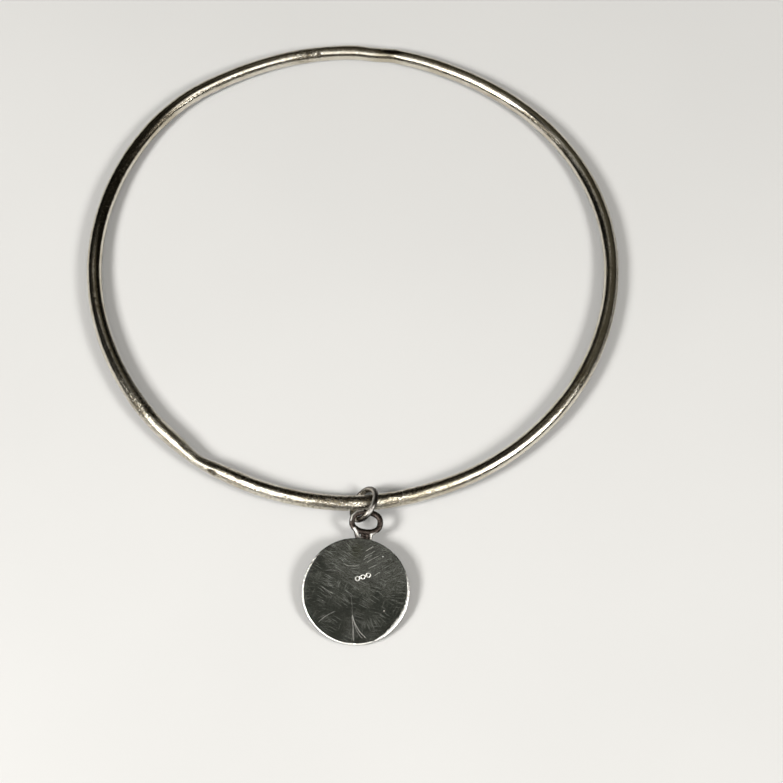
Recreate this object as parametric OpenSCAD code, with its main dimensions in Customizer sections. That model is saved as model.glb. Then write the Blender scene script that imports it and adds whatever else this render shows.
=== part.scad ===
// Charm bangle: a closed hoop of round silver wire, bent by hand and a little out of round,
// with a plain disc charm that hangs from it by one jump ring.
// It lies on a table as it comes to rest: +Z is up, +Y points away from the charm,
// and the origin is on the table at the middle of the hoop.

/* [Hoop] */
// Outside width, side to side
hoop_w = 72; // [60:0.5:80]
// Outside depth, from the charm's side to the far side
hoop_d = 69.6; // [58:0.2:80]
// Thickness of the round wire
hoop_wire = 2; // [1.6:0.05:2]
// How far the charm's side is held off the table by the jump ring below it
hoop_lift = 0.9; // [0.9:0.05:1]
// Bearing of the soldered joint, counted from the right side towards the far side
joint_at = 235; // [200:1:250]
// Half the length of the joint, as a spread of bearings
joint_spread = 4.5; // [3:0.5:6]
// Wire thickness in the middle of the joint, which was filed on the inside
joint_wire = 1.5; // [1.3:0.05:2]

/* [Jump ring] */
// Inside diameter
ring_inner = 3.6; // [3.6:0.02:3.7]
// Thickness of its wire
ring_wire = 0.75; // [0.6:0.05:0.75]
// Lean of the ring from lying flat
ring_lean = 50.4; // [50:0.1:51]
// Bearing that the ring's upper face turns to
ring_turn = 161.5; // [161:0.1:162]

/* [Disc charm] */
// Diameter of the disc
disc_dia = 13.6; // [12:0.1:16]
// Thickness of the disc
disc_thick = 1; // [0.8:0.05:1.2]
// Chamfer round both edges
disc_chamfer = 0.15; // [0.05:0.05:0.3]
// Slope of the disc, with its loop end raised
disc_slope = 7.5; // [7.3:0.1:7.6]
// Turn of the charm on the table, its loop to the right
disc_turn = 8.2; // [8:0.1:8.5]

/* [Charm loop] */
// Outside width of the oval loop
loop_w = 4.36; // [4.3:0.02:4.4]
// Outside height of the oval loop
loop_h = 3.3; // [3.24:0.02:3.32]
// Thickness of its wire
loop_wire = 0.75; // [0.6:0.05:0.75]
// Width of the soldered neck, loop to disc
neck_w = 2; // [1.6:0.1:2.4]
// Thickness of the neck, under that of the loop's wire
neck_thick = 0.55; // [0.4:0.05:0.55]

/* [Hidden] */
$fn = 72;

// Half axes of the hoop's centreline
hoop_ax = (hoop_w - hoop_wire) / 2;
hoop_ay = (hoop_d - hoop_wire) / 2;

// Where the hoop leaves its ellipse: [bearing, how far outwards, spread in degrees].
// It has a tighter corner at the far left, flats beside it and at the far right,
// and it bows out at the right, at the charm and at the soldered joint.
BENDS = [
    [ 10,  0.22, 18],
    [ 62, -0.52, 22],
    [140,  0.64, 18],
    [200, -0.45, 25],
    [276,  0.28, 24],
    [joint_at, (hoop_wire - joint_wire) / 2, joint_spread],
];

// The hoop's mesh: sections round it, set closer together at the joint, and sides of the wire
hoop_sections = 120;
section_crowding = 0.6;
wire_sides = 16;

// The jump ring's middle, from the hoop's wire where the charm hangs
ring_from_wire = [1.9, -0.26, 0.24];
// The disc's middle on the table, from the jump ring's middle
disc_from_ring = [-0.98, -11.34];
// The loop's middle, from the disc's edge
loop_from_edge = 2.2;
// The neck reaches this far into the disc and the loop, which it is soldered to
neck_bite = 0.3;

// Centreline of the hoop seen from above, and its wire's thickness, by bearing
function unit(v) = v / norm(v);
function total(list, i = 0) = i < len(list) ? list[i] + total(list, i + 1) : 0;
function wrapped(a) = a - 360 * round(a / 360);
function hump(b, middle, spread) = exp(-pow(wrapped(b - middle) / spread, 2));
function bow(b) = total([for (bend = BENDS) bend[1] * hump(b, bend[0], bend[2])]);
function hoop_radius(b) = 1 / norm([cos(b) / hoop_ax, sin(b) / hoop_ay]) + bow(b);
function hoop_point(b) = hoop_radius(b) * [cos(b), sin(b)];
function hoop_heading(b) = unit(hoop_point(b + 0.05) - hoop_point(b - 0.05));
function hoop_thick(b) = hoop_wire - (hoop_wire - joint_wire) * hump(b, joint_at, joint_spread);

// Heights and slope of the hoop on the table
near_y = hoop_point(270)[1];
far_y = hoop_point(90)[1];
hoop_slope = atan(hoop_lift / (far_y - near_y));
near_z = hoop_wire / 2 + hoop_lift;

// Places of the jump ring and the disc
ring_radius = (ring_inner + ring_wire) / 2;
ring_mid = [0, near_y, near_z] + ring_from_wire;
disc_low = (disc_dia / 2 - disc_chamfer) * sin(disc_slope) + disc_thick / 2 * cos(disc_slope);
disc_mid = [ring_mid[0] + disc_from_ring[0], ring_mid[1] + disc_from_ring[1], disc_low];

// One section of the wire: a polygon of points round the centreline, square to its heading
function wire_section(b) = let (p = hoop_point(b), t = hoop_heading(b), r = hoop_thick(b) / 2)
    [for (k = [0 : wire_sides - 1]) let (a = 360 * k / wire_sides)
        [p[0] + r * cos(a) * t[1], p[1] - r * cos(a) * t[0], r * sin(a)]];

// Bearing of a section, from its share of the way round
function section_bearing(u) = joint_at + 360 * u - section_crowding * 180 / PI * sin(360 * u);

module hoop_sweep() {
    points = [for (i = [0 : hoop_sections - 1]) each wire_section(section_bearing(i / hoop_sections))];
    faces = [for (i = [0 : hoop_sections - 1], k = [0 : wire_sides - 1])
        let (here = i * wire_sides, next = (i + 1) % hoop_sections * wire_sides, m = (k + 1) % wire_sides)
        [here + k, here + m, next + m, next + k]];
    polyhedron(points, faces);
}

module bangle_hoop() {
    color("silver")
        translate([0, far_y, hoop_wire / 2])
        rotate([-hoop_slope, 0, 0])
        translate([0, -far_y, 0])
        hoop_sweep();
}

module jump_ring() {
    color("lightgray")
        translate(ring_mid)
        rotate([0, ring_lean, ring_turn])
        rotate_extrude()
        translate([ring_radius, 0])
        circle(d = ring_wire);
}

module disc() {
    r = disc_dia / 2;
    h = disc_thick / 2;
    c = disc_chamfer;
    rotate_extrude()
        polygon([[0, -h], [r - c, -h], [r, -h + c], [r, h - c], [r - c, h], [0, h]]);
}

// Solder between the disc and its loop, narrowed to a waist on both sides
module neck() {
    low = disc_dia / 2 - neck_bite;
    high = disc_dia / 2 + loop_from_edge - (loop_h - loop_wire) / 2;
    fillet = (high - low) / 2;
    linear_extrude(height = neck_thick, center = true)
        difference() {
            translate([-neck_w / 2 - fillet, low]) square([neck_w + 2 * fillet, high - low]);
            for (side = [-1, 1])
                translate([side * (neck_w / 2 + fillet), (low + high) / 2]) circle(r = fillet);
        }
}

// Oval loop of round wire: two half rings joined by straight wires
module charm_loop() {
    bend = (loop_h - loop_wire) / 2;
    straight = loop_w - loop_h;
    for (side = [-1, 1]) {
        translate([side * straight / 2, 0, 0])
            rotate(-90 * side)
            rotate_extrude(angle = 180)
            translate([bend, 0])
            circle(d = loop_wire);
        translate([0, side * bend, 0])
            rotate([0, 90, 0])
            cylinder(d = loop_wire, h = straight, center = true);
    }
}

module disc_charm() {
    color("gray")
        translate(disc_mid)
        rotate([disc_slope, 0, 0])
        rotate([0, 0, -disc_turn]) {
            disc();
            translate([0, disc_dia / 2 + loop_from_edge, 0]) charm_loop();
            neck();
        }
}

bangle_hoop();
jump_ring();
disc_charm();
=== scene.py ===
"""Charm bangle: a hand-bent hoop of round silver wire with a disc charm on one jump ring.

Every length below is in millimetres until a mesh is finished, which is then scaled to metres.
"""

from math import atan, atan2, cos, degrees, exp, hypot, pi, radians, sin, sqrt
import bmesh
import bpy
from bpy.props import FloatProperty, FloatVectorProperty, PointerProperty
from bpy.types import Operator, Panel, PropertyGroup
from mathutils import Matrix, Vector, noise


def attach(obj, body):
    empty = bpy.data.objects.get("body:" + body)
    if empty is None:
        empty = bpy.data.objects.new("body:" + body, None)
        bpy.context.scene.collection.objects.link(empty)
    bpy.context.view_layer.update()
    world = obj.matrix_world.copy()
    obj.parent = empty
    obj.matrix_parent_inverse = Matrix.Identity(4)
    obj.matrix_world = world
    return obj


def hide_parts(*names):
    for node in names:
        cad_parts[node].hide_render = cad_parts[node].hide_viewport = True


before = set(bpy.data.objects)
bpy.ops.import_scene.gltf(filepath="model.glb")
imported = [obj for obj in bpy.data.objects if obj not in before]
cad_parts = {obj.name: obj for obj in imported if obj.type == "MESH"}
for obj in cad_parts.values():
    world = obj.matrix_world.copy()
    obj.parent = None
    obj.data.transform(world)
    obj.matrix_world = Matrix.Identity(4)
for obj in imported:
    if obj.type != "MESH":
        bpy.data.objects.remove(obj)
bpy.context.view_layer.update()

bl_info = {
    "name": "Charm bangle",
    "version": (1, 0, 0),
    "blender": (4, 5, 0),
    "location": "View3D > Sidebar > Bangle",
    "description": "Builds a silver wire bangle with a disc charm around its packed frame",
    "category": "Object",
}

MM = 0.001

# The hoop on the table. Bearings run from the right side, at 0, over the far side, at 90.
# Where the hoop leaves its ellipse: bearing, how far outwards, spread in degrees
HOOP_BENDS = [
    (10, 0.22, 18), (62, -0.52, 22), (140, 0.64, 18), (200, -0.45, 25), (276, 0.28, 24),
]
# Small kinks from the bending, too slight for the solid model
HOOP_KINKS = [(80.2, 0.10, 1.8), (85.0, -0.14, 2.6), (130, 0.10, 7), (148, -0.09, 8), (288, -0.12, 9)]
JOINT_AT = 235
JOINT_SPREAD = 4.5
# How far a degree of bearing reaches along the wire, in mm
MM_A_DEGREE = 0.61
# The hoop is spun as a plain ring in few steps, cut finer, and then bent into its place
HOOP_SPUN = 35.0
HOOP_SECTIONS = 1440
HOOP_CUTS = 8
WIRE_SIDES = 40
# Unevenness of the wire, from broad to fine: lumps in a mm, shift, depth in mm, more where worked
HOOP_UNEVEN = [(0.30, (0, 0, 0), 0.020, 0), (1.2, (7, 3, 1), 0.0042, 0.012), (2.9, (2, 9, 4), 0.004, 0.042)]

# Marks of the maker's tools: bearing, place round the wire (0 outwards, 90 on top), depth,
# half length along the wire, half width round it in degrees
HOOP_DENTS = [
    (81.3, 62, 0.15, 1.3, 38), (85.8, 70, 0.05, 1.5, 60), (99.8, 112, 0.05, 0.5, 60),
    (103.5, 118, 0.03, 0.4, 60), (131.5, 114, 0.05, 1.6, 40), (188.6, 92, 0.05, 0.15, 30),
    (239.3, 34, 0.18, 0.45, 20), (236.9, 103, 0.15, 1.5, 26), (231.8, 110, 0.05, 0.7, 30),
    (222.0, 75, 0.03, 0.5, 50), (219.0, 92, 0.03, 0.5, 40), (263.5, 55, 0.06, 0.25, 35),
    (265.6, 80, 0.06, 0.3, 35), (267.6, 62, 0.07, 0.3, 30), (258.0, 80, 0.03, 0.3, 30),
    (279.5, 68, 0.05, 0.3, 30), (281.5, 88, 0.04, 0.3, 30), (284.4, 108, 0.06, 0.4, 30),
    (255.0, 55, 0.03, 0.4, 30),
]
# Dark oxide left in hollows, and painted dark reflections: long dark lines along the wire, and on the right
# the mirrored shadow at its outer edge. Each: bearing, place round the wire, share, half length in mm, half
# width
HOOP_OXIDE_AND_PAINTED_REFLECTIONS = [
    (80.6, 84, 1.3, 1.5, 30), (98.3, 128, 0.9, 0.25, 26), (100.5, 114, 0.7, 1.3, 28),
    (103, 122, 0.35, 0.9, 24), (30.5, 126, 0.5, 1.2, 22),
    (236.9, 99, 1.3, 1.7, 26), (239.3, 38, 1.8, 0.65, 20), (231, 92, 0.8, 1.8, 14),
    (214.5, 58, 0.62, 3, 30), (218, 112, 0.7, 3, 17), (218.5, 48, 0.5, 1.6, 20), (220, 103, 0.5, 1.5, 36),
    (245, 103, 0.9, 4, 18), (254, 104, 1.1, 4, 19), (262, 105, 1.2, 4, 19), (270, 104, 1.2, 4, 19),
    (278, 112, 1.1, 3.5, 15), (286, 115, 0.7, 3, 14), (300, 111, 0.55, 8, 22), (285.5, 117, 0.5, 0.5, 40),
    (265.5, 43, 0.7, 3, 17), (267, 80, 0.6, 4, 26), (274.5, 72, 0.6, 0.9, 50), (280, 57, 0.6, 2.4, 10),
    (300, 89, 0.40, 5, 10), (311, 84, 0.45, 5, 13), (321, 68, 0.45, 4, 22),
    (340, 34, 0.5, 6, 14), (352, 34, 0.5, 8, 14), (8, 36, 0.45, 8, 14), (24, 38, 0.35, 6, 14),
    (8, 134, 0.9, 6, 17), (22, 133, 0.9, 6, 17), (42, 106, 0.9, 4, 10), (38, 126, 0.9, 3.4, 10),
    (45, 131, 0.8, 4, 9), (60, 135, 0.5, 4, 9), (75, 136, 0.8, 5, 9), (88, 140, 0.9, 5, 9),
    (100, 140, 0.9, 4, 9), (112, 136, 0.8, 5, 9), (124, 131, 0.7, 5, 9), (134, 128, 0.7, 4, 9),
    (115, 100, 0.6, 5, 10), (127, 97, 0.8, 4, 11), (138, 95, 0.7, 4, 12),
    (145, 132, 0.9, 4, 14), (158, 128, 0.9, 6, 14), (172, 125, 0.9, 6, 12),
    (146, 108, 0.55, 5, 34), (158, 98, 0.7, 7, 50), (171, 96, 0.5, 6, 50),
    (188, 125, 0.9, 7, 12), (203, 125, 0.9, 7, 12), (196, 76, 0.6, 8, 15), (206, 78, 0.6, 4, 18),
    (196, 142, 0.6, 6, 12), (211, 143, 0.9, 6, 14),
]
# Where the wire was worked most and is roughest: bearing, spread, share
HOOP_WORKED = [
    (JOINT_AT, 9, 1.0), (218, 6, 0.7), (250, 8, 0.4), (268, 12, 1.0), (282, 6, 0.25), (292, 12, 0.3),
    (102, 5, 0.6),
]

# The jump ring: its middle from the hoop's wire at the charm, its lean and turn, and its mesh
RING_FROM_WIRE = Vector((1.9, -0.26, 0.24))
RING_LEAN = 50.4
RING_TURN = 161.5
RING_STEPS = 240
RING_SIDES = 24
# The ring's butted seam: bearing on the ring, spread, and how much thinner the wire is there
SEAM_AT = 205
SEAM_SPREAD = 1.3
SEAM_THINNER = 0.13
# Unevenness of the ring's wire: lumps in a mm, depth in mm
RING_LUMPS = 1.6
RING_UNEVEN = 0.008
# Where the ring is rubbed bright and painted highlights lie: share, place round its wire and spread,
# bearing and spread
RING_RUBBED_AND_HIGHLIGHT = [(0.98, 75, 20, 180, 50), (0.80, 12, 22, 150, 15), (0.80, 152, 16, -8, 18)]

# The disc: its middle from the ring's, its slope and turn on the table, and its chamfer
DISC_FROM_RING = Vector((-0.98, -11.34))
DISC_SLOPE = 7.5
DISC_TURN = 8.2
DISC_CHAMFER = 0.15

# The oval loop: its middle from the disc's edge, its mesh, how squarish its outline is, and how
# flat and blunt its wire, then how far the solder reaches into the disc and how finely it flows
LOOP_FROM_EDGE = 2.2
LOOP_STEPS = 120
LOOP_SIDES = 28
LOOP_SQUARED = 0.06
LOOP_FLATTENED = 0.94
LOOP_BLUNT = 0.72
SOLDER_BITE = 0.35
REMESH_CELL = 0.045

# The disc's mesh, and its worn rim: bearing from the disc's right side, width, spread
DISC_STEPS = 400
FACE_RINGS = 58
BACK_RINGS = 20
EDGE_STEPS = 14
BACK_EDGE_STEPS = 8
PROTO_EDGE = 0.3
BACK_RIM = 0.14
RIM_LEAST = 0.07
RIM_NARROWEST = 0.05
RIM_WEAR = [
    (-5, 0.15, 26), (-42, 0.22, 20), (-88, 0.09, 20), (-128, 0.12, 28), (-178, 0.11, 26), (150, 0.13, 16),
]
# Nicks in the rim: bearing, share, spread, and the depth of a whole one
RIM_NICKS = [(136, 1.0, 1.8), (146, 0.8, 1.2), (-93, 1.0, 2.0), (-52, 0.8, 1.0), (-64, 0.7, 1.5)]
NICK_DEPTH = 0.05

# Long scratches on the disc: both ends from its middle, right and up, then how far the stroke
# bows to its left, its width and its paleness
DISC_SCRATCHES = [
    ((-0.59, -0.60), (-0.46, -3.15), 0.05, 0.060, 0.15),
    ((-0.50, -2.90), (1.40, -6.05), -0.30, 0.080, 0.50),
    ((-0.20, -3.85), (0.95, -6.10), -0.22, 0.060, 0.30),
    ((-0.49, -3.11), (-0.23, -6.45), 0.06, 0.075, 0.35),
    ((-0.30, -4.40), (-0.42, -6.30), -0.04, 0.050, 0.28),
    ((-4.76, -4.01), (-2.54, -2.58), 0.14, 0.048, 0.36),
    ((-4.90, -3.55), (-3.60, -2.95), 0.05, 0.045, 0.14),
    ((-4.30, 0.61), (-2.86, -0.29), -0.08, 0.060, 0.26),
    ((-3.90, 0.05), (-3.05, -0.55), 0.05, 0.045, 0.15),
    ((1.27, 5.07), (2.29, 5.66), 0.03, 0.055, 0.55),
    ((1.37, 3.60), (2.80, 4.44), 0.04, 0.050, 0.45),
    ((1.15, 4.35), (2.45, 5.05), 0.04, 0.050, 0.45),
    ((0.95, 3.95), (2.10, 4.60), 0.03, 0.045, 0.40),
    ((2.35, 1.95), (3.10, 2.35), 0.02, 0.050, 0.40),
    ((1.60, 2.85), (2.60, 3.30), 0.03, 0.045, 0.40),
    ((-1.60, 3.50), (0.60, 3.35), -0.25, 0.090, 0.25),
    ((-3.90, 2.60), (-1.90, 2.30), 0.20, 0.070, 0.20),
    ((3.52, -2.50), (3.66, -2.56), 0.0, 0.090, 0.85),
    ((3.30, 4.44), (3.52, 4.34), 0.0, 0.070, 0.85),
]
# Where the loop and its solder were rubbed bright, with painted highlights along the same streaks: points
# from the disc's middle, then width
LOOP_RUBBED_AND_HIGHLIGHT = [
    ([(-0.19, 8.05), (0.22, 7.25), (0.62, 6.75)], 0.13),
    ([(2.68, 7.42), (1.92, 7.29), (1.92, 6.51), (1.35, 6.20)], 0.09),
    ([(-0.68, 9.10), (-0.50, 9.75), (0.08, 10.28), (0.90, 10.42)], 0.08),
]
# What the charm's vertices hold for its finishes
CHARM_HELD = (
    "bare", "radial", "bearing", "reach", "slanted", "shade", "olive", "worked", "dark_oxide_and_reflection", "rubbed_and_highlight",
)
# A row of three plain rings punched below the loop: middle, spacing, slant, radius, depth
MARK_AT = (0.90, 1.75)
MARK_SPACING = 0.72
MARK_SLANT = 18
MARK_RADIUS = 0.26
MARK_DEPTH = 0.03
# How uneven the face is, how deep below its flat it reaches, and where the loop begins past the edge
FACE_UNEVEN = 0.012
FACE_DEEP = 0.1
PAST_EDGE = 0.02


def wrapped(angle):
    """An angle in degrees, brought to between -180 and 180."""
    return angle - 360 * round(angle / 360)


def bell(off, spread):
    """1 in the middle, and falling off smoothly on both sides of it."""
    return exp(-((off / spread) ** 2))


def hump(bearing, middle, spread):
    """A smooth rise round one bearing."""
    return bell(wrapped(bearing - middle), spread)


def ease(value, low, high):
    """0 below low, 1 above high, and a smooth step between them."""
    t = min(1, max(0, (value - low) / (high - low)))
    return t * t * (3 - 2 * t)


def to_segment(x, y, start, end):
    """How far a point is from a straight stroke."""
    sx, sy = end[0] - start[0], end[1] - start[1]
    t = ((x - start[0]) * sx + (y - start[1]) * sy) / (sx * sx + sy * sy)
    t = min(1, max(0, t))
    return hypot(x - start[0] - t * sx, y - start[1] - t * sy)


class HoopShape:
    """The hoop's centreline and thickness, from its settings."""

    def __init__(self, settings):
        self.wire = settings.wire / MM
        self.joint_wire = settings.joint_wire / MM
        self.half_w = (settings.width / MM - self.wire) / 2
        self.half_d = (settings.depth / MM - self.wire) / 2
        self.lift = settings.lift / MM
        joint = (JOINT_AT, (self.wire - self.joint_wire) / 2, JOINT_SPREAD)
        self.bends = HOOP_BENDS + HOOP_KINKS + [joint]
        self.near_y = self.point(270).y
        self.far_y = self.point(90).y
        self.near_z = self.wire / 2 + self.lift

    def point(self, bearing):
        """A point of the centreline, with the hoop still flat."""
        b = radians(bearing)
        r = 1 / hypot(cos(b) / self.half_w, sin(b) / self.half_d)
        r += sum(out * hump(bearing, at, spread) for at, out, spread in self.bends)
        return Vector((r * cos(b), r * sin(b), 0))

    def outward(self, bearing):
        """The level direction out of the hoop, square to the wire."""
        heading = self.point(bearing + 0.05) - self.point(bearing - 0.05)
        return Vector((heading.y, -heading.x, 0)).normalized()

    def thick(self, bearing):
        """The wire's thickness, which is filed down at the joint."""
        return self.wire - (self.wire - self.joint_wire) * hump(bearing, JOINT_AT, JOINT_SPREAD)

    def laid(self):
        """Lays the flat hoop on the table, held up at the charm's side by the jump ring."""
        slope = atan(self.lift / (self.far_y - self.near_y))
        return (
            Matrix.Translation((0, self.far_y, self.wire / 2))
            @ Matrix.Rotation(-slope, 4, "X")
            @ Matrix.Translation((0, -self.far_y, 0))
        )


def marks_across(marks, bearing):
    """The marks that reach one section: their place round the wire, share and half width."""
    near = []
    for at, side, most, half_length, half_width in marks:
        along = wrapped(bearing - at) * MM_A_DEGREE / half_length
        if abs(along) < 3:
            near.append((side, most * bell(along, 1), half_width))
    return near


def marks_at(near, around):
    """What the marks that reach a section add up to at one place round it."""
    return sum(share * hump(around, side, wide) for side, share, wide in near)


def hoop_worked(bearing):
    """How roughly the wire was worked there, from 0 to 1."""
    return min(1, sum(share * hump(bearing, at, spread) for at, spread, share in HOOP_WORKED))


def moved(bm, middle, *turns):
    """Turns a mesh, the last turn first, and moves it to its place."""
    matrix = Matrix.Translation(middle)
    for angle, axis in turns:
        matrix = matrix @ Matrix.Rotation(radians(angle), 4, axis)
    bmesh.ops.transform(bm, matrix=matrix, verts=bm.verts)


def spun(bm, steps):
    """Spins what is drawn in a bmesh once round Z."""
    bmesh.ops.spin(
        bm, geom=bm.verts[:] + bm.edges[:], cent=(0, 0, 0), axis=(0, 0, 1),
        angle=2 * pi, steps=steps, use_merge=True,
    )


def close_ring(radius, thickness, steps, sides):
    """A ring of round wire round Z, spun from its section."""
    bm = bmesh.new()
    bmesh.ops.create_circle(bm, segments=sides, radius=thickness / 2)
    moved(bm, (radius, 0, 0), (90, "X"))
    spun(bm, steps)
    bmesh.ops.recalc_face_normals(bm, faces=bm.faces)
    return bm


def bearing_of(vert):
    """The bearing of a vertex from the middle, in degrees."""
    return degrees(atan2(vert.co.y, vert.co.x))


def reach_of(vert):
    """How far a vertex is from the axis in the middle."""
    return hypot(vert.co.x, vert.co.y)


def edge_turn(edge):
    """How far an edge runs round the middle, in degrees."""
    return abs(wrapped(bearing_of(edge.verts[1]) - bearing_of(edge.verts[0])))


def unroll(bm, round_wire, along, across):
    """Gives a ring of wire its own map: how far along it and round it a point is, in mm."""
    wire_map = bm.loops.layers.uv.new("wire")
    for face in bm.faces:
        first_b, first_a = round_wire[face.verts[0]]
        for loop in face.loops:
            b, a = round_wire[loop.vert]
            b, a = first_b + wrapped(b - first_b), first_a + wrapped(a - first_a)
            loop[wire_map].uv = (b * along, a * across)


def added(name, data):
    """A new object in the scene, for a mesh, a light or a camera."""
    piece = bpy.data.objects.new(name, data)
    bpy.context.scene.collection.objects.link(piece)
    return piece


def as_object(bm, name):
    """Puts a bmesh into the scene as an object."""
    mesh = bpy.data.meshes.new(name)
    bm.to_mesh(mesh)
    bm.free()
    return added(name, mesh)


def discard(piece):
    """Takes a helper object and its mesh out of the scene again."""
    mesh = piece.data
    bpy.data.objects.remove(piece)
    bpy.data.meshes.remove(mesh)


def finished(bm, name, node, materials):
    """Scales a mesh to metres and makes it the piece that stands for its CAD node."""
    if not bm.faces or not all(edge.is_manifold for edge in bm.edges):
        raise RuntimeError(f"the {name} is not a closed mesh")
    bmesh.ops.scale(bm, vec=(MM, MM, MM), verts=bm.verts)
    for face in bm.faces:
        face.smooth = True
    piece = as_object(bm, name)
    for material in materials:
        piece.data.materials.append(material)
    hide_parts(node)
    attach(piece, "root")


class Nodes:
    """Adds nodes to one tree, a material's or the world's."""

    def __init__(self, tree):
        self.nodes = tree.nodes
        self.links = tree.links

    def give(self, node, socket, value):
        """Links an output to a node's input, or sets the input to a value."""
        if isinstance(value, bpy.types.NodeSocket):
            self.links.new(value, node.inputs[socket])
        else:
            node.inputs[socket].default_value = value

    def add(self, kind, inputs, **settings):
        """A new node with its settings made and its inputs given."""
        node = self.nodes.new("ShaderNode" + kind)
        for setting, value in settings.items():
            setattr(node, setting, value)
        for socket, value in inputs.items():
            self.give(node, socket, value)
        return node

    def grain(self, vector, scale=1, detail=2, rough=0.5, twist=0):
        """Soft noise: how many lumps there are in a unit, and how ragged they are."""
        inputs = {
            "Vector": vector, "Scale": scale, "Detail": detail, "Roughness": rough, "Distortion": twist,
        }
        return self.add("TexNoise", inputs).outputs["Fac"]

    def step(self, value, low, high, start=0.0, end=1.0):
        """start where the value is below low, end where it is above high, and smooth between."""
        inputs = {"Value": value, "From Min": low, "From Max": high, "To Min": start, "To Max": end}
        return self.add("MapRange", inputs, interpolation_type="SMOOTHSTEP").outputs["Result"]

    def maths(self, operation, first, second=0.0):
        """One sum on two numbers, or on the first alone."""
        return self.add("Math", {0: first, 1: second}, operation=operation).outputs["Value"]

    def times(self, first, second):
        """The product of two numbers."""
        return self.maths("MULTIPLY", first, second)

    def plus(self, first, second):
        """The total of two numbers."""
        return self.maths("ADD", first, second)


class Finish(Nodes):
    """A metal finish in the making: nodes that feed one Principled shader."""

    def __init__(self, name, **sockets):
        self.material = bpy.data.materials.new(name)
        self.material.use_nodes = True
        super().__init__(self.material.node_tree)
        self.nodes.clear()
        self.shader = self.nodes.new("ShaderNodeBsdfPrincipled")
        output = self.nodes.new("ShaderNodeOutputMaterial")
        self.links.new(self.shader.outputs["BSDF"], output.inputs["Surface"])
        self.shade(**sockets)

    def shade(self, **sockets):
        """Gives the shader its values, with an underscore for each blank in a socket's name."""
        for socket, value in sockets.items():
            self.give(self.shader, socket.replace("_", " "), value)

    def place(self):
        """Where a point is on the object, in metres."""
        return self.add("TexCoord", {}).outputs["Object"]

    def unrolled(self, name):
        """Where a point is on the piece's own map, in millimetres."""
        return self.add("UVMap", {}, uv_map=name).outputs["UV"]

    def held(self, name):
        """A number that the piece's mesh holds at each vertex."""
        return self.add("Attribute", {}, attribute_name=name).outputs["Fac"]

    def mapped(self, vector, direction, scale=(1, 1, 1), start=(0, 0)):
        """A map moved to start, turned, and drawn out by scale."""
        inputs = {"Vector": vector, "Location": (*start, 0), "Rotation": (0, 0, direction), "Scale": scale}
        return self.add("Mapping", inputs, vector_type="TEXTURE").outputs["Vector"]

    def streaks(self, vector, direction, along, across, detail=3, rough=0.6, twist=0):
        """Grain drawn out in one direction: how many streaks there are along and across a unit."""
        turned = self.mapped(vector, radians(direction), (1 / along, 1 / across, 1))
        return self.grain(turned, 1, detail, rough, twist)

    def strokes(self, vector, direction, share, along=3.0, across=0.135):
        """Short straight strokes in one direction, one in each cell, in a share of the cells."""
        turned = self.mapped(vector, radians(direction), (along, across, 1))
        cells = self.add("TexVoronoi", {"Vector": turned, "Scale": 1.0}, voronoi_dimensions="2D").outputs
        chance = self.add("SeparateColor", {"Color": cells["Color"]}).outputs["Red"]
        line = self.step(cells["Distance"], 0.10, 0.34, 1.0, 0.0)
        return self.times(line, self.step(chance, 1 - share, 1.3 - share))

    def scratch(self, vector, start, end, bow, wide):
        """One long fine stroke that bows to its left."""
        sx, sy = end[0] - start[0], end[1] - start[1]
        turned = self.mapped(vector, atan2(sy, sx), start=start)
        parts = self.add("SeparateXYZ", {"Vector": turned}).outputs
        share = self.maths("DIVIDE", parts["X"], hypot(sx, sy))
        arch = self.times(share, self.maths("SUBTRACT", 1.0, share))
        off = self.maths("SUBTRACT", parts["Y"], self.times(arch, 4 * bow))
        line = self.step(self.maths("ABSOLUTE", off), wide * 0.25, wide, 1.0, 0.0)
        return self.times(line, self.step(arch, 0.0, 0.08))

    def swayed(self, vector, scale, most):
        """A map bent here and there, so that strokes on it aren't dead straight."""
        clouds = self.add("TexNoise", {"Vector": vector, "Scale": scale, "Detail": 1.0}).outputs["Color"]
        bent = self.add("VectorMath", {0: clouds, 1: (0.5, 0.5, 0.5)}, operation="SUBTRACT")
        wide = self.add("VectorMath", {0: bent.outputs["Vector"], "Scale": most}, operation="SCALE")
        both = self.add("VectorMath", {0: vector, 1: wide.outputs["Vector"]}, operation="ADD")
        return both.outputs["Vector"]

    def mixed(self, share, first, second):
        """The first colour with a share of the second laid over it."""
        return self.add("Mix", {0: share, 6: first, 7: second}, data_type="RGBA").outputs[2]

    def highest(self, *values):
        """The highest of several numbers."""
        top = values[0]
        for value in values[1:]:
            top = self.maths("MAXIMUM", top, value)
        return top

    def relief(self, height, depth, normal=None):
        """A bump whose full height is depth, in millimetres."""
        inputs = {"Height": height, "Distance": depth * MM, "Strength": 1.0}
        if normal is not None:
            inputs["Normal"] = normal
        return self.add("Bump", inputs).outputs["Normal"]


# Colours of the oxide in the hoop's hollows and on the small parts, also used for painted dark reflections,
# and of rubbed metal, also used for painted highlights
HOLLOW_OXIDE_AND_REFLECTION = (0.047, 0.040, 0.029, 1)
RING_OXIDE_AND_REFLECTION = (0.022, 0.018, 0.015, 1)
RUBBED_SILVER_AND_HIGHLIGHT = (0.92, 0.89, 0.84, 1)


def colour(setting):
    """A colour from the settings, as the nodes take it."""
    return (*setting, 1)


def mark_middles():
    """The middles of the three small rings, right and up from the disc's middle."""
    slant = radians(MARK_SLANT)
    steps = [MARK_SPACING * k for k in (-1, 0, 1)]
    return [(MARK_AT[0] + step * cos(slant), MARK_AT[1] + step * sin(slant)) for step in steps]


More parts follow.
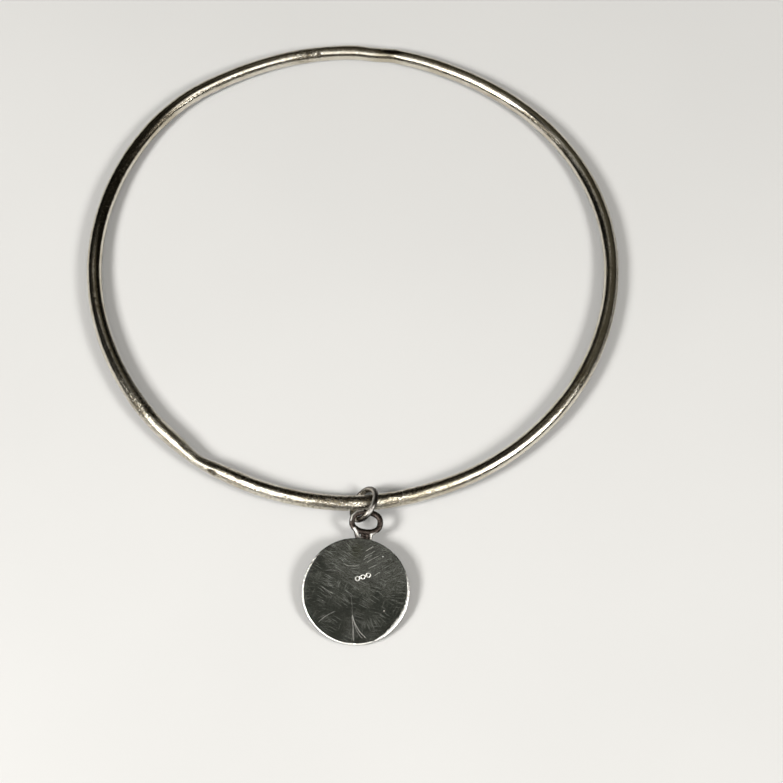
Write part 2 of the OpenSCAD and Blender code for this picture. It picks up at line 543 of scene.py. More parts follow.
def wire_finish(name, silver, tarnish, oxide_and_reflection, rough, dark_share):
    """Worn round silver wire: fine lines along it, nicks across it, and tarnish in patches, with oxide,
    painted dark reflections and painted highlights where the mesh holds them.
    """
    finish = Finish(name, Metallic=1.0)
    wire = finish.unrolled("wire")
    place = finish.place()
    worked, dark_oxide_and_reflection, rubbed_and_highlight = (finish.held(name) for name in ("worked", "dark_oxide_and_reflection", "rubbed_and_highlight"))
    clouds = finish.grain(place, 170, detail=4, rough=0.6)
    flecks = finish.streaks(wire, 0, 2.4, 3.4, detail=4, rough=0.7, twist=0.6)
    lines = finish.streaks(wire, 2, 0.5, 9, rough=0.65)
    nicks = finish.streaks(wire, 75, 1.3, 5.5)
    stain = finish.plus(finish.step(clouds, 0.44, 0.66), finish.step(flecks, 0.55, 0.72, 0, 0.6))
    base = finish.mixed(finish.times(stain, dark_share), silver, tarnish)
    pale = finish.step(lines, 0.60, 0.72, 0, 0.5)
    base = finish.mixed(pale, base, silver)
    ragged = finish.times(finish.maths("SUBTRACT", flecks, 0.5), 0.9)
    # Oxide and painted dark reflections, where the mesh holds them
    dark = finish.step(finish.plus(dark_oxide_and_reflection, finish.times(ragged, finish.step(dark_oxide_and_reflection, 0.0, 0.3))), 0.12, 0.80)
    crumbs = finish.grain(wire, 5.5, detail=3, rough=0.7)
    spots = finish.grain(wire, 3.2, detail=4, rough=0.75)
    thin = finish.times(finish.step(spots, 0.48, 0.38), finish.step(worked, 0.0, 0.6, 0.2, 0.5))
    dark = finish.times(dark, finish.maths("SUBTRACT", 1.0, thin))
    base = finish.mixed(dark, base, oxide_and_reflection)
    specks = finish.times(finish.step(spots, 0.50, 0.58), finish.step(worked, 0.0, 0.8, 0.12, 0.95))
    base = finish.mixed(specks, base, finish.mixed(0.6, tarnish, oxide_and_reflection))
    # Rubbed metal and painted highlights, where the mesh holds them
    base = finish.mixed(rubbed_and_highlight, base, RUBBED_SILVER_AND_HIGHLIGHT)
    gloss = finish.plus(finish.step(flecks, 0.35, 0.75, rough, rough + 0.14), finish.times(worked, 0.08))
    gloss = finish.plus(gloss, finish.times(rubbed_and_highlight, 0.25))
    gloss = finish.plus(gloss, finish.times(dark, 0.10))
    fine = finish.relief(lines, 0.014)
    across = finish.relief(finish.times(nicks, finish.plus(worked, 0.3)), 0.035, fine)
    blotch = finish.relief(finish.times(flecks, finish.plus(worked, 0.40)), 0.045, across)
    grit = finish.relief(finish.times(crumbs, finish.step(worked, 0.0, 1.0, 0.3, 1.0)), 0.045, blotch)
    finish.shade(Base_Color=base, Roughness=gloss, Normal=grit)
    return finish.material


def disc_finish(settings):
    """The disc's flat: dark tarnished silver with pale rubbed strokes, and bright bare edges."""
    finish = Finish("rubbed disc", Metallic=1.0)
    flat = finish.unrolled("disc")
    radial, slanted, worn = (finish.held(name) for name in ("radial", "slanted", "bare"))
    silver, tarnish = colour(settings.silver), colour(settings.tarnish)
    bent = finish.swayed(flat, 0.35, 0.9)
    clouds = finish.grain(flat, 0.55, detail=4, rough=0.6, twist=0.4)
    crumbs = finish.grain(flat, 4.5, detail=4, rough=0.75)
    around = {"X": finish.held("reach"), "Y": finish.held("bearing")}
    polar = finish.add("CombineXYZ", around).outputs["Vector"]
    parallel = finish.streaks(flat, 28, 0.45, 4.6, twist=0.1)
    falling = finish.streaks(bent, -30, 0.45, 4.2, twist=0.2)
    spokes = finish.streaks(polar, 0, 0.5, 0.40)
    soft = finish.mixed(slanted, falling, parallel)
    soft = finish.mixed(radial, soft, spokes)
    lit = finish.step(soft, 0.38, 0.70)
    fine_right = finish.strokes(flat, 28, 0.70)
    fine_left = finish.strokes(bent, -32, 0.60, along=2.8)
    fine_level = finish.strokes(bent, -4, 0.42)
    fine_steep = finish.strokes(bent, 66, 0.28, along=2.4)
    fine_spokes = finish.strokes(polar, 0, 0.65, along=2.6, across=1.5)
    fine = finish.mixed(slanted, fine_left, fine_right)
    fine = finish.mixed(radial, fine, fine_spokes)
    fine = finish.highest(fine, finish.times(fine_level, 0.8), finish.times(fine_steep, 0.7))
    fine = finish.times(fine, finish.step(clouds, 0.30, 0.60, 0.45, 1.0))
    deep = finish.step(finish.plus(clouds, finish.held("shade")), 0.40, 0.90)
    base = finish.mixed(deep, silver, tarnish)
    base = finish.mixed(finish.held("olive"), base, colour(settings.olive))
    base = finish.mixed(finish.times(lit, 0.28), base, silver)
    base = finish.mixed(finish.times(fine, 0.42), base, colour(settings.stroke_silver))
    base = finish.mixed(finish.times(finish.step(crumbs, 0.47, 0.60), 0.55), base, tarnish)
    unsteady = finish.swayed(flat, 0.8, 0.12)
    long = finish.highest(
        *[finish.times(finish.scratch(unsteady, *stroke), pale) for *stroke, pale in DISC_SCRATCHES])
    base = finish.mixed(long, base, colour(settings.bare_silver))
    chips = finish.grain(flat, 3.4, detail=4, rough=0.7)
    torn = finish.times(finish.maths("SUBTRACT", chips, 0.5), 2.1)
    bare = finish.step(finish.plus(worn, torn), 0.35, 0.62)
    bare = finish.times(bare, finish.step(worn, 0.0, 0.25))
    for cx, cy in mark_middles():
        away = finish.add("VectorMath", {0: flat, 1: (cx, cy, 0)}, operation="DISTANCE").outputs["Value"]
        off = finish.maths("ABSOLUTE", finish.maths("SUBTRACT", away, MARK_RADIUS))
        bare = finish.highest(bare, finish.step(off, 0.03, 0.09, 0.9, 0.0))
    base = finish.mixed(bare, base, colour(settings.bare_silver))
    rough = finish.step(soft, 0.3, 0.7, settings.face_rough + 0.05, settings.face_rough - 0.04)
    grooves = finish.relief(soft, 0.014)
    grooves = finish.relief(finish.highest(finish.times(fine, 0.5), long), -0.010, grooves)
    chipped = finish.relief(finish.times(chips, worn), 0.05, grooves)
    finish.shade(Base_Color=base, Roughness=rough, Normal=finish.relief(crumbs, 0.010, chipped))
    return finish.material


def length(name, default, description):
    """A setting that is a length in metres."""
    return FloatProperty(name=name, description=description, default=default, unit="LENGTH")


def tint(name, default, description):
    """A setting that is a colour."""
    return FloatVectorProperty(
        name=name, description=description, default=default, subtype="COLOR", min=0, max=1)


def factor(name, default, description):
    """A setting between 0 and 1."""
    return FloatProperty(
        name=name, description=description, default=default, subtype="FACTOR", min=0, max=1)


def brightness(name, default, description):
    """A setting for a light."""
    return FloatProperty(name=name, description=description, default=default)


class HoopSettings(PropertyGroup):
    """The hoop's size and metal"""

    width: length("Width", 0.072, "Outside width, side to side")
    depth: length("Depth", 0.0696, "Outside depth, near to far")
    wire: length("Wire", 0.002, "Thickness of the wire")
    joint_wire: length("Joint wire", 0.0015, "Thickness at the filed joint")
    lift: length("Lift", 0.0009, "How far the charm's side is off the table")
    silver: tint("Silver", (0.77, 0.725, 0.625), "Colour of the clean metal")
    tarnish: tint("Tarnish", (0.41, 0.345, 0.23), "Colour of the tarnished metal")
    rough: factor("Roughness", 0.08, "Roughness of the clean metal")


class RingSettings(PropertyGroup):
    """The jump ring's size and metal"""

    inner: length("Inside diameter", 0.0036, "Inside diameter of the jump ring")
    wire: length("Wire", 0.00075, "Thickness of the ring's wire")
    silver: tint("Silver", (0.46, 0.42, 0.36), "Colour of the clean metal")
    tarnish: tint("Tarnish", (0.14, 0.11, 0.085), "Colour of the tarnished metal")


class CharmSettings(PropertyGroup):
    """The disc's and its loop's size and metal"""

    diameter: length("Diameter", 0.0136, "Diameter of the disc")
    thick: length("Thickness", 0.001, "Thickness of the disc")
    loop_w: length("Loop width", 0.00436, "Outside width of the oval loop")
    loop_h: length("Loop height", 0.0033, "Outside height of the oval loop")
    loop_wire: length("Loop wire", 0.00075, "Thickness of the loop's wire")
    silver: tint("Face silver", (0.19, 0.197, 0.176), "Colour where the face is worn")
    stroke_silver: tint("Stroke silver", (0.50, 0.51, 0.47), "Colour of the fine rubbed strokes")
    bare_silver: tint("Bare silver", (0.93, 0.91, 0.87), "Colour of the bright rim and scratches")
    tarnish: tint("Tarnish", (0.052, 0.055, 0.047), "Colour of the tarnished face")
    olive: tint("Stain", (0.085, 0.09, 0.055), "Colour of the stain below the loop")
    loop_silver: tint("Loop silver", (0.12, 0.095, 0.082), "Colour of the loop's cleaner metal")
    loop_tarnish: tint("Loop tarnish", (0.036, 0.026, 0.023), "Colour of the loop's tarnish")
    face_rough: factor("Roughness", 0.19, "Roughness of the face")


class StageSettings(PropertyGroup):
    """The table, the room and the lights"""

    table: tint("Table", (0.84, 0.835, 0.82), "Colour of the table")
    room: tint("Room", (0.078, 0.070, 0.050), "Colour of the dim room round the table")
    softbox: brightness("Softboxes", 1.55, "Brightness of the softboxes that the metal mirrors")
    softbox_height: length("Softbox height", 0.6, "Height of the softboxes over the table")
    left_lamp: brightness("Left lamp", 30, "Brightness of the small lamp on the left")
    right_lamp: brightness("Right lamp", 20, "Brightness of the small lamp on the right")
    fill: brightness("Fill", 0.16, "Brightness of the wide soft light overhead")


class MakeHoop(Operator):
    """Builds the hoop: one closed ring of round wire, bent by hand, with its soldered joint"""

    bl_idname = "bangle.make_hoop"
    bl_label = "Make hoop"

    def execute(self, context):
        settings = context.scene.bangle_hoop
        shape = HoopShape(settings)
        bm = close_ring(HOOP_SPUN, shape.wire, HOOP_SECTIONS // HOOP_CUTS, WIRE_SIDES)
        lengthways = [edge for edge in bm.edges if edge_turn(edge) > 0.1]
        bmesh.ops.subdivide_edges(bm, edges=lengthways, cuts=HOOP_CUTS - 1, use_grid_fill=True)
        layers = bm.verts.layers.float
        worked, dark_oxide_and_reflection = layers.new("worked"), layers.new("dark_oxide_and_reflection")
        round_wire = {}
        sections = {}
        for vert in bm.verts:
            section = round(bearing_of(vert) * HOOP_SECTIONS / 360) % HOOP_SECTIONS
            bearing = section * 360 / HOOP_SECTIONS
            around = degrees(atan2(vert.co.z, reach_of(vert) - HOOP_SPUN))
            if section not in sections:
                sections[section] = (
                    shape.point(bearing), shape.outward(bearing), shape.thick(bearing) / 2,
                    hoop_worked(bearing), marks_across(HOOP_DENTS, bearing),
                    marks_across(HOOP_OXIDE_AND_PAINTED_REFLECTIONS, bearing),
                )
            centre, out, radius, rough, dents, oxide_and_reflection_marks = sections[section]
            a = radians(around)
            side = cos(a) * out + sin(a) * Vector((0, 0, 1))
            uneven = sum(
                noise.noise((centre + side) * lumps + Vector(shift)) * (depth + more * rough)
                for lumps, shift, depth, more in HOOP_UNEVEN
            )
            vert.co = centre + (radius + uneven - marks_at(dents, around)) * side
            vert[worked] = rough
            # Oxide in the hollows, and painted dark reflections along the wire
            vert[dark_oxide_and_reflection] = min(1, marks_at(oxide_and_reflection_marks, around))
            round_wire[vert] = ((bearing - JOINT_AT) % 360, (around + 90) % 360)
        bmesh.ops.transform(bm, matrix=shape.laid(), verts=bm.verts)
        for vert in bm.verts:
            vert.co.z = max(0, vert.co.z)
        unroll(bm, round_wire, MM_A_DEGREE, radians(1) * shape.wire / 2)
        silver = wire_finish(
            "worn hoop silver", colour(settings.silver), colour(settings.tarnish), HOLLOW_OXIDE_AND_REFLECTION,
            rough=settings.rough, dark_share=0.55)
        finished(bm, "hoop", "bangle_hoop", [silver])
        return {"FINISHED"}


def ring_middle(shape):
    """The middle of the jump ring, which hangs on the hoop's wire where the charm is."""
    return Vector((0, shape.near_y, shape.near_z)) + RING_FROM_WIRE


def ring_seam_and_dark_reflection(bearing, turn):
    """How dark the ring is at one place: darker at its seam, with a painted dark reflection that climbs
    round its wire and a second one above.
    """
    along = bearing if bearing > 60 else bearing + 360
    dark_side = -8 + 62 * ease(along, 195, 265) + 26 * ease(along, 265, 340)
    spread = 50 - 14 * ease(along, 195, 265)
    upper = hump(turn, 35, 26) * hump(bearing, 200, 65)
    seam = hump(bearing, SEAM_AT, SEAM_SPREAD)
    return min(1, 0.5 * seam + 0.95 * hump(turn, dark_side, spread) + 0.5 * upper)


class MakeJumpRing(Operator):
    """Builds the jump ring that links the hoop and the charm, with its butted seam"""

    bl_idname = "bangle.make_jump_ring"
    bl_label = "Make jump ring"

    def execute(self, context):
        settings = context.scene.bangle_ring
        wire = settings.wire / MM
        radius = (settings.inner / MM + wire) / 2
        bm = close_ring(radius, wire, RING_STEPS, RING_SIDES)
        layers = bm.verts.layers.float
        worked, dark_oxide_and_reflection, rubbed_and_highlight = (layers.new(name) for name in ("worked", "dark_oxide_and_reflection", "rubbed_and_highlight"))
        turned = {}
        for vert in bm.verts:
            bearing = bearing_of(vert) % 360
            around = atan2(vert.co.z, reach_of(vert) - radius)
            turned[vert] = (bearing, (degrees(around) + 90) % 360)
            thick = wire / 2 * (1 - SEAM_THINNER * hump(bearing, SEAM_AT, SEAM_SPREAD))
            lie = Vector((vert.co.x, vert.co.y, 2 * vert.co.z))
            thick += noise.noise(lie * RING_LUMPS) * RING_UNEVEN
            reach = radius + thick * cos(around)
            b = radians(bearing)
            vert.co = Vector((reach * cos(b), reach * sin(b), thick * sin(around)))
            vert[worked] = 0.15 + 0.5 * hump(bearing, SEAM_AT, 12)
            turn = degrees(around)
            # Rubbed metal and painted highlights along the ring's wire
            vert[rubbed_and_highlight] = max(
                most * hump(turn, side, across) * hump(bearing, at, along)
                for most, side, across, at, along in RING_RUBBED_AND_HIGHLIGHT
            )
            # The seam's oxide, and the painted dark reflections round the wire
            vert[dark_oxide_and_reflection] = ring_seam_and_dark_reflection(bearing, turn)
        middle = ring_middle(HoopShape(context.scene.bangle_hoop))
        moved(bm, middle, (RING_TURN, "Z"), (RING_LEAN, "Y"))
        unroll(bm, turned, radians(1) * radius, radians(1) * wire / 2)
        silver = wire_finish(
            "jump ring silver", colour(settings.silver), colour(settings.tarnish), RING_OXIDE_AND_REFLECTION,
            rough=0.12, dark_share=0.6)
        finished(bm, "jump_link", "jump_ring", [silver])
        return {"FINISHED"}


def from_modifiers(bm, name, modifiers):
    """A bmesh after modifiers, each given as its kind and its settings."""
    holder = as_object(bm, name)
    for kind, settings in modifiers:
        modifier = holder.modifiers.new(kind, kind)
        for setting, value in settings.items():
            setattr(modifier, setting, value)
    bpy.context.view_layer.update()
    shaped = holder.evaluated_get(bpy.context.evaluated_depsgraph_get()).to_mesh()
    result = bmesh.new()
    result.from_mesh(shaped)
    discard(holder)
    return result


def rod(bm, start, end, radius):
    """A round bar between two points."""
    start, end = Vector(start), Vector(end)
    along = end - start
    turn = along.to_track_quat("Z", "Y").to_matrix().to_4x4()
    bmesh.ops.create_cone(
        bm, cap_ends=True, segments=LOOP_SIDES, radius1=radius, radius2=radius, depth=along.length,
        matrix=Matrix.Translation((start + end) / 2) @ turn,
    )


def loop_and_neck(settings):
    """The oval loop with its soldered neck, flowed together."""
    wire = settings.loop_wire / MM
    half_w = settings.loop_w / MM / 2 - wire / 2
    half_h = settings.loop_h / MM / 2 - wire / 2
    edge = settings.diameter / MM / 2
    centre_y = edge + LOOP_FROM_EDGE
    bm = close_ring(half_h, wire, LOOP_STEPS, LOOP_SIDES)
    for vert in bm.verts:
        angle = atan2(vert.co.y, vert.co.x)
        out = reach_of(vert) - half_h
        squared = 1 + LOOP_SQUARED * sin(2 * angle) ** 2
        x = half_w * cos(angle) * squared
        y = half_h * sin(angle) * squared
        steep = Vector((cos(angle) / half_w, sin(angle) / half_h, 0)).normalized()
        up = sin(atan2(vert.co.z, out))
        flat_z = wire / 2 * LOOP_FLATTENED * (1 if up > 0 else -1) * abs(up) ** LOOP_BLUNT
        vert.co = Vector((x + out * steep.x, y + out * steep.y + centre_y, flat_z))
    # Solder: a thick bead on the left, a thinner one on the right, and a sunk film between
    low = edge - SOLDER_BITE
    rod(bm, (-1.30, centre_y - 0.75, 0), (-0.62, low, 0.02), 0.33)
    rod(bm, (0.82, centre_y - half_h, 0), (0.80, low, 0), 0.28)
    rod(bm, (-0.25, centre_y - half_h, -0.06), (-0.15, low, -0.06), 0.25)
    rod(bm, (0.30, centre_y - half_h, -0.06), (0.30, low, -0.06), 0.25)
    return from_modifiers(bm, "loop", [
        ("REMESH", {"mode": "VOXEL", "voxel_size": REMESH_CELL}),
        ("SMOOTH", {"factor": 0.5, "iterations": 4}),
    ])


def rim_width(bearing):
    """How far the worn, bright rim reaches in from the edge."""
    return RIM_LEAST + sum(wide * hump(bearing, at, spread) for at, wide, spread in RIM_WEAR)


def plain_disc(radius, half):
    """A disc spun from its profile, with a quarter round at both edges for the worn rim."""
    bm = bmesh.new()
    turn = radius - PROTO_EDGE
    profile = [(turn * i / FACE_RINGS, half) for i in range(FACE_RINGS + 1)]
    for i in range(1, EDGE_STEPS + 1):
        t = pi / 2 * i / EDGE_STEPS
        profile.append((turn + PROTO_EDGE * sin(t), half - PROTO_EDGE * (1 - cos(t))))
    for i in range(1, BACK_EDGE_STEPS + 1):
        t = pi / 2 * i / BACK_EDGE_STEPS
        profile.append((turn + PROTO_EDGE * cos(t), -half + PROTO_EDGE * (1 - sin(t))))
    profile += [(turn * (1 - i / BACK_RINGS), -half) for i in range(1, BACK_RINGS + 1)]
    verts = [bm.verts.new((x, 0, z)) for x, z in profile]
    for first, second in zip(verts, verts[1:]):
        bm.edges.new((first, second))
    spun(bm, DISC_STEPS)
    bmesh.ops.remove_doubles(bm, verts=bm.verts, dist=1e-5)
    bmesh.ops.recalc_face_normals(bm, faces=bm.faces)
    return bm


def worn_edge(vert, radius, half):
    """Shapes the quarter round of the plain disc into its uneven worn rim."""
    turn = radius - PROTO_EDGE
    x, y, z = vert.co
    reach = hypot(x, y)
    if reach < 1e-6:
        return
    bearing = degrees(atan2(y, x)) - DISC_TURN
    side = 1 if z > 0 else -1
    wide = rim_width(bearing) + 0.02 * noise.noise(Vector((x * 1.2, y * 1.2, 5)))
    wide = max(RIM_NARROWEST, wide) if side > 0 else BACK_RIM
    if reach <= turn + 1e-5:
        new_reach = reach * (radius - wide) / turn
        drop = 0
    else:
        # The rim sinks a little towards the edge, and the last of it is rounded off
        share = min(1, (reach - turn) / PROTO_EDGE)
        new_reach = radius - wide * (1 - share)
        rounding = max(0, (share - 0.7) / 0.3)
        drop = wide * (0.08 * share + 0.12 * share**2)
        drop += (DISC_CHAMFER if side > 0 else BACK_RIM) * (1 - sqrt(max(0, 1 - rounding**2)))
    vert.co = Vector((x / reach * new_reach, y / reach * new_reach, side * (half - drop)))


def finer_mark(bm, half):
    """Splits the face where the small rings are punched, so that they are round."""
    turn = radians(-DISC_TURN)
    x = MARK_AT[0] * cos(turn) - MARK_AT[1] * sin(turn)
    y = MARK_AT[0] * sin(turn) + MARK_AT[1] * cos(turn)
    near = {
        vert for vert in bm.verts
        if vert.co.z > half - FACE_DEEP and hypot(vert.co.x - x, (vert.co.y - y) * 1.5) < 1.35
    }
    edges = [edge for edge in bm.edges if near.issuperset(edge.verts)]
    bmesh.ops.subdivide_edges(bm, edges=edges, cuts=2, use_grid_fill=True)
    bmesh.ops.triangulate(bm, faces=[face for face in bm.faces if len(face.verts) > 4])


def face_wear(px, py, radius):
    """How the disc's face is worn at one place, right and up from its middle."""
    reach = hypot(px, py)
    bearing = degrees(atan2(py, px))
    wide = rim_width(bearing)
    nick = max(share * hump(bearing, at, spread) for at, share, spread in RIM_NICKS)
    nick *= ease(reach, radius - 0.35, radius - 0.05)
    ragged = 0.06 + 0.34 * hump(bearing, -36, 30)
    rim = ease(reach, radius - wide - ragged, radius - wide + 0.05) * ease(wide, 0.08, 0.2)
    # Strokes that fan out towards the edge, at the lower right and on the left
    outer = ease(reach, 2.6, 4.6) * hump(bearing, -38, 52)
    outer += 0.8 * ease(reach, 4.0, 5.6) * hump(bearing, 180, 40)
    # Darker to the left and below, with a dark strip left of the middle and a paler patch above
    shade = 0.26 * ease(-px, 1.0, 5.5) + 0.34 * ease(-py, -1.5, 3.0)
    shade += 0.16 * bell(px + 0.625, 0.625) * ease(2.2 - py, 0, 1) * ease(py + 3, 0, 1)
    shade -= 0.22 * bell(px, 2.2) * bell(py - 3.4, 0.9)
    return {
        "reach": reach,
        "bearing": bearing,
        "nick": nick,
        "bare": max(rim, nick),
        "radial": outer,
        "slanted": ease(py, 0.8, 2.4) * ease(px, -0.4, 1.0),
        "shade": shade,
        "olive": 0.8 * bell(px - 0.1, 0.9) * bell(py - 5.2, 1.3),
        "worked": 0.4,
    }


def punched(px, py):
    """How near a point is to one of the small punched rings, 1 on it."""
    off = min(abs(hypot(px - cx, py - cy) - MARK_RADIUS) for cx, cy in mark_middles())
    return bell(off, 0.075)


def loop_rubbed_highlight(points, wide, px, py):
    """How near a point is to a rubbed streak with its painted highlight, 1 on it."""
    return bell(min(to_segment(px, py, a, b) for a, b in zip(points, points[1:])), wide)


def wear_charm(bm, radius, half):
    """Stores the charm's wear in its vertices, presses its marks in and maps it."""
    layers = {name: bm.verts.layers.float.new(name) for name in CHARM_HELD}
    flat = {}
    bm.normal_update()
    turn = radians(DISC_TURN)
    for vert in bm.verts:
        x, y, z = vert.co
        px, py = x * cos(turn) + y * sin(turn), -x * sin(turn) + y * cos(turn)
        flat[vert] = (px, py)
        held = face_wear(px, py, radius)
        on_loop = y > radius + PAST_EDGE
        if on_loop:
            held["bare"] = 0
            held["dark_oxide_and_reflection"] = 0.55
            # Rubbed streaks with painted highlights on the loop's upper side
            held["rubbed_and_highlight"] = max(loop_rubbed_highlight(points, wide, px, py) for points, wide in LOOP_RUBBED_AND_HIGHLIGHT)
            held["rubbed_and_highlight"] *= vert.normal.z > 0
        on_top = z > 0 and not on_loop
        held["bare"] *= on_top * ease(z, half - 0.34, half - 0.22)
        if on_top:
            vert.co.z -= NICK_DEPTH * held["nick"]
        inside = held["reach"] < radius - PAST_EDGE and vert.normal.z > 0.6
        if on_top and inside and abs(z - half) < FACE_DEEP:
            uneven = noise.noise(Vector((px * 0.4, py * 0.4, 2)))
            vert.co.z -= MARK_DEPTH * punched(px, py) + FACE_UNEVEN * uneven
        for name, layer in layers.items():
            vert[layer] = held.get(name, 0)
    disc_map, wire_map = (bm.loops.layers.uv.new(name) for name in ("disc", "wire"))
    for face in bm.faces:
        face.material_index = 1 if face.calc_center_median().y > radius + PAST_EDGE else 0
        for loop in face.loops:
            loop[disc_map].uv = flat[loop.vert]
            loop[wire_map].uv = (loop.vert.co.x + loop.vert.co.z, loop.vert.co.y)


class MakeDiscCharm(Operator):
    """Builds the disc charm: worn disc, oval loop and the solder between them, as one solid"""

    bl_idname = "bangle.make_disc_charm"
    bl_label = "Make disc charm"

    def execute(self, context):
        settings = context.scene.bangle_charm
        radius = settings.diameter / MM / 2
        half = settings.thick / MM / 2
        bm = plain_disc(radius, half)
        for vert in bm.verts:
            worn_edge(vert, radius, half)
        finer_mark(bm, half)
        loop = as_object(loop_and_neck(settings), "loop part")
        union = {"operation": "UNION", "object": loop, "solver": "EXACT"}
        bm = from_modifiers(bm, "charm", [("BOOLEAN", union)])
        discard(loop)
        between = [vert for vert in bm.verts if len(vert.link_edges) == 2]
        bmesh.ops.dissolve_verts(bm, verts=between)
        wear_charm(bm, radius, half)
        low = (radius - DISC_CHAMFER) * sin(radians(DISC_SLOPE)) + half * cos(radians(DISC_SLOPE))
        ring = ring_middle(HoopShape(context.scene.bangle_hoop))
        middle = (ring.x + DISC_FROM_RING.x, ring.y + DISC_FROM_RING.y, low)
        moved(bm, middle, (DISC_SLOPE, "X"), (-DISC_TURN, "Z"))
        loop_silver = wire_finish(
            "soldered loop silver", colour(settings.loop_silver), colour(settings.loop_tarnish), RING_OXIDE_AND_REFLECTION,
            rough=0.14, dark_share=0.8)
        finished(bm, "charm", "disc_charm", [disc_finish(settings), loop_silver])
        return {"FINISHED"}


# Softboxes that hang level and are seen only in the metal: left, right, near and far edge, each
# as a share of their height, then their turn and brightness. The disc mirrors the gap between.
SOFTBOXES = [
    ("left softbox", -0.88, -0.11, -3.2, 0.03, 0, 1),
    ("right softbox", 0.26, 0.74, -3.2, 0.0, 0, 1),
    ("middle softbox", 0.09, 0.26, -0.62, 0.0, 0, 1),
    ("near softbox", -0.11, 0.09, -1.0, -0.34, 0, 1.1),
    ("far left strip", -0.47, -0.07, 0.29, 0.41, 41, 0.5),
]
# Small lamps at the sides, which cast the shadows, and the fill: setting, place and size in metres
LAMPS = [
    ("left_lamp", (-0.30, -0.184, 0.341), 0.136),
    ("right_lamp", (0.307, -0.177, 0.341), 0.136),
    ("fill", (0, 0, 0.9), 1.2),
]
# The camera looks down past the charm: place in metres, tilt from straight down, lens and sensor
CAMERA_AT = (0.005436, -0.11347, 0.23673)
CAMERA_TILT = 22
CAMERA_LENS = 88.58
CAMERA_SENSOR = 36
CAMERA_NEAREST = 0.01
TABLE_HALF = 1.2
TABLE_ROUGH = 0.75
TABLE_PALER = 1.03


def add_light(name, radiance, place, size, away):
    """A flat light at a place, facing back along away."""
    lamp = bpy.data.lights.new(name, "AREA")
    lamp.shape = "RECTANGLE"
    lamp.size, lamp.size_y = size
    lamp.energy = radiance * pi * size[0] * size[1]
    lamp.color = (1.0, 0.99, 0.97)
    holder = added(name, lamp)
    holder.location = place
    holder.rotation_euler = away.to_track_quat("Z", "Y").to_euler()
    return holder


def dim_room(settings):
    """A dim room: black near the floor, a little light overhead, darkest on the left."""
    world = bpy.data.worlds.new("dim room")
    world.use_nodes = True
    room = Nodes(world.node_tree)
    heading = room.add("TexCoord", {}).outputs["Generated"]
    parts = room.add("SeparateXYZ", {"Vector": heading}).outputs
    high = room.step(parts["Z"], 0.05, 1.0, 0.10, 1.0)
    left = room.step(parts["X"], -0.75, 0.05, 0.22, 1.0)
    uneven = room.step(room.grain(heading, 2.6), 0.3, 0.7, 0.6, 1.3)
    backdrop = room.nodes["Background"]
    room.give(backdrop, "Color", colour(settings.room))
    room.give(backdrop, "Strength", room.times(room.times(high, left), uneven))
    return world


def add_table(settings):
    """A pale table, hardly mottled, which the bangle lies on."""
    bm = bmesh.new()
    bmesh.ops.create_grid(bm, x_segments=2, y_segments=2, size=TABLE_HALF)
    table = as_object(bm, "table")
    finish = Finish("pale table", Roughness=TABLE_ROUGH)
    clouds = finish.grain(finish.place(), 14, detail=3)
    paler = [min(1, part * TABLE_PALER) for part in settings.table]
    base = finish.mixed(finish.step(clouds, 0.35, 0.65), colour(settings.table), colour(paler))
    finish.shade(Base_Color=base)
    table.data.materials.append(finish.material)


def add_lights(settings):
    """The softboxes that the metal mirrors, the two lamps that cast shadows, and the fill."""
    high = settings.softbox_height
    for name, left, right, near, far, turn, power in SOFTBOXES:
        size = ((right - left) * high, (far - near) * high)
        middle = Vector(((left + right) / 2 * high, (near + far) / 2 * high, high))
        softbox = add_light(name, settings.softbox * power, middle, size, Vector((0, 0, 1)))
        softbox.rotation_euler.z = radians(turn)
        softbox.visible_diffuse = False
    for setting, place, size in LAMPS:
        name, radiance = setting.replace("_", " "), getattr(settings, setting)
        lamp = add_light(name, radiance, place, (size, size), Vector(place))
        lamp.visible_glossy = name != "fill"


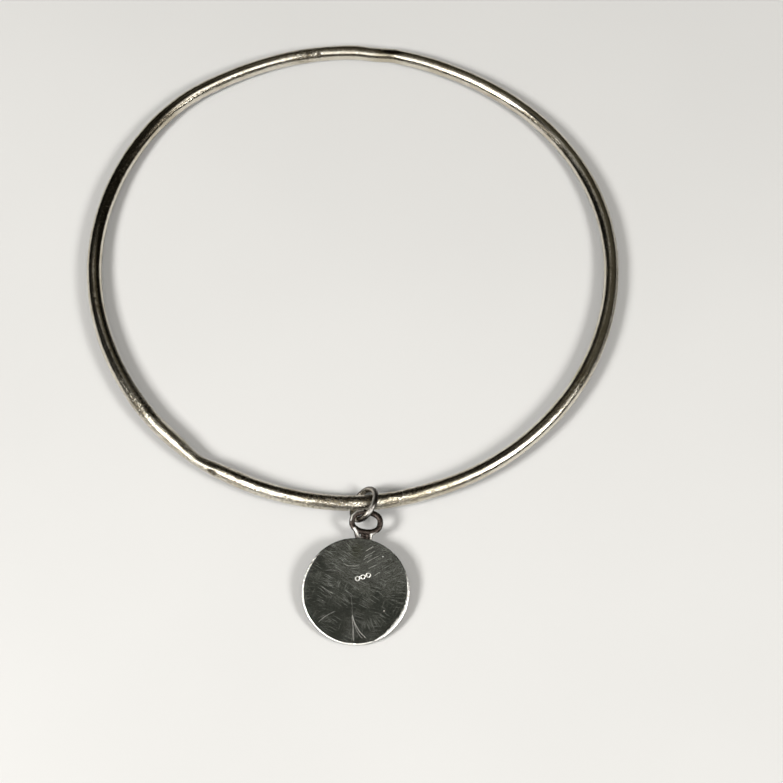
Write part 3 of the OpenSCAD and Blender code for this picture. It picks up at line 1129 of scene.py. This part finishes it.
def add_camera():
    """The camera that the bangle is seen through."""
    lens = bpy.data.cameras.new("camera")
    lens.sensor_width = CAMERA_SENSOR
    lens.lens = CAMERA_LENS
    lens.clip_start = CAMERA_NEAREST
    camera = added("camera", lens)
    camera.location = CAMERA_AT
    camera.rotation_euler = (radians(CAMERA_TILT), 0, 0)
    bpy.context.scene.camera = camera


class MakeStage(Operator):
    """Builds the table, the lights, the dim room and the camera"""

    bl_idname = "bangle.make_stage"
    bl_label = "Make stage"

    def execute(self, context):
        settings = context.scene.bangle_stage
        add_table(settings)
        add_lights(settings)
        context.scene.world = dim_room(settings)
        context.scene.view_settings.view_transform = "Standard"
        context.scene.cycles.caustics_reflective = False
        add_camera()
        return {"FINISHED"}


class BanglePanel(Panel):
    """Shows each builder's button with its settings"""

    bl_idname = "VIEW3D_PT_charm_bangle"
    bl_label = "Charm bangle"
    bl_space_type = "VIEW_3D"
    bl_region_type = "UI"
    bl_category = "Bangle"

    def draw(self, context):
        for maker, (group, _) in MAKERS.items():
            settings = getattr(context.scene, group)
            box = self.layout.box()
            box.operator(maker.bl_idname)
            for name in settings.bl_rna.properties.keys():
                if name not in ("rna_type", "name"):
                    box.prop(settings, name)


# Each builder, with its settings' name in the scene and their kind
MAKERS = {
    MakeHoop: ("bangle_hoop", HoopSettings),
    MakeJumpRing: ("bangle_ring", RingSettings),
    MakeDiscCharm: ("bangle_charm", CharmSettings),
    MakeStage: ("bangle_stage", StageSettings),
}


def register():
    """Registers the settings, the operators and the panel."""
    for maker, (group, kind) in MAKERS.items():
        bpy.utils.register_class(kind)
        setattr(bpy.types.Scene, group, PointerProperty(type=kind))
        bpy.utils.register_class(maker)
    bpy.utils.register_class(BanglePanel)


def unregister():
    """Takes them out again, the last one first."""
    bpy.utils.unregister_class(BanglePanel)
    for maker, (group, kind) in reversed(MAKERS.items()):
        bpy.utils.unregister_class(maker)
        delattr(bpy.types.Scene, group)
        bpy.utils.unregister_class(kind)


def main():
    """Builds the bangle and its stage."""
    register()
    bpy.ops.bangle.make_hoop()
    bpy.ops.bangle.make_jump_ring()
    bpy.ops.bangle.make_disc_charm()
    bpy.ops.bangle.make_stage()
    bpy.context.view_layer.update()


if __name__ == "__main__":
    main()
